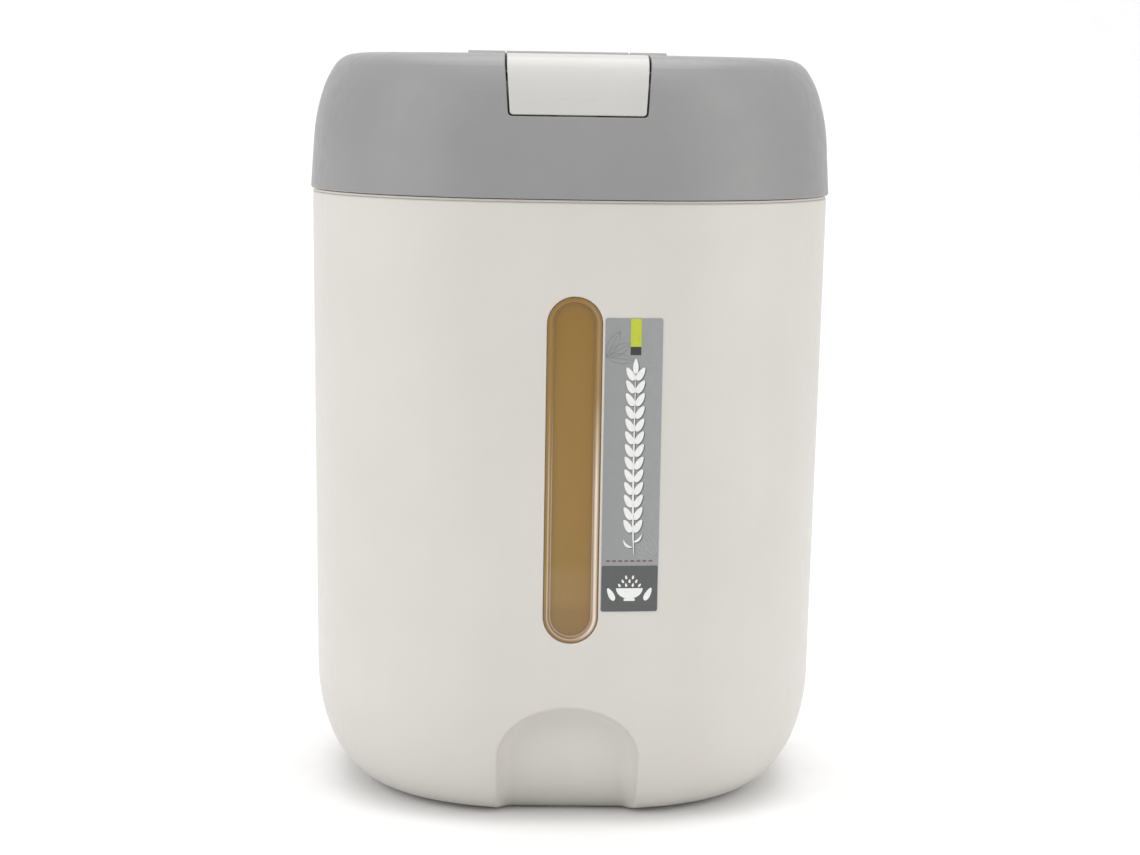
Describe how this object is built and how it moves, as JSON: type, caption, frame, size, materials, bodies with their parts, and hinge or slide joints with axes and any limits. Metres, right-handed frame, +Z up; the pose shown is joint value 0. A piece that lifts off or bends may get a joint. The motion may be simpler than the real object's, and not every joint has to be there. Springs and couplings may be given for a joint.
{
  "type": "grain storage bin",
  "caption": "Rounded-square kitchen grain and cereal bin with a flip-up front lid, rocker latch button, amber level window and grip alcove.",
  "frame": {"origin": "middle of the footprint, on the surface that the feet stand on", "axes": "+Z up, the window, label and button face -Y, +X to the right seen from the front"},
  "size_m": [0.2394, 0.2393, 0.3395],
  "materials": {
    "tub_plastic": "fine matt moulded plastic, warm white",
    "collar_plastic": "fine matt moulded plastic, warm white",
    "cap_plastic": "satin moulded plastic, mid grey",
    "button_plastic": "satin moulded plastic, white",
    "liner_plastic": "satin moulded plastic, white",
    "amber_lens": "glossy translucent amber",
    "label_film": "printed film, satin",
    "seal_rubber": "soft matt silicone",
    "gasket_silicone": "soft translucent silicone",
    "foot_rubber": "matt rubber",
    "screw_steel": "zinc plated",
    "pin_steel": "drawn steel",
    "spring_steel": "drawn spring wire"
  },
  "bodies": {
    "base": {"tub": "tub_plastic", "window_lens": "amber_lens", "label": "label_film", "foot_pad_1": "foot_rubber", "foot_pad_2": "foot_rubber", "foot_pad_3": "foot_rubber", "foot_pad_4": "foot_rubber", "collar": "collar_plastic", "collar_seal": "seal_rubber", "rear_cover": "cap_plastic", "rear_cover_screws": "screw_steel", "hinge_pin": "pin_steel"},
    "lid": {"lid_shell": "cap_plastic", "lid_liner": "liner_plastic", "lid_gasket": "gasket_silicone", "lid_screws": "screw_steel", "latch_pin": "pin_steel", "latch_spring_left": "spring_steel", "latch_spring_right": "spring_steel"},
    "latch": {"latch_button": "button_plastic"}
  },
  "joints": [
    {"name": "lid_hinge", "type": "hinge", "parent": "base", "child": "lid", "pos_m": [0, 0.05, 0.3366], "axis": [-1, 0, 0], "range_deg": [0, 100]},
    {"name": "latch_rock", "type": "hinge", "parent": "lid", "child": "latch", "pos_m": [0, -0.1035, 0.3285], "axis": [-1, 0, 0], "range_deg": [0, 5], "stiffness_Nm_per_rad": 0.25, "springref_deg": -4.58, "deforming": ["latch_spring_left", "latch_spring_right"]}
  ]
}
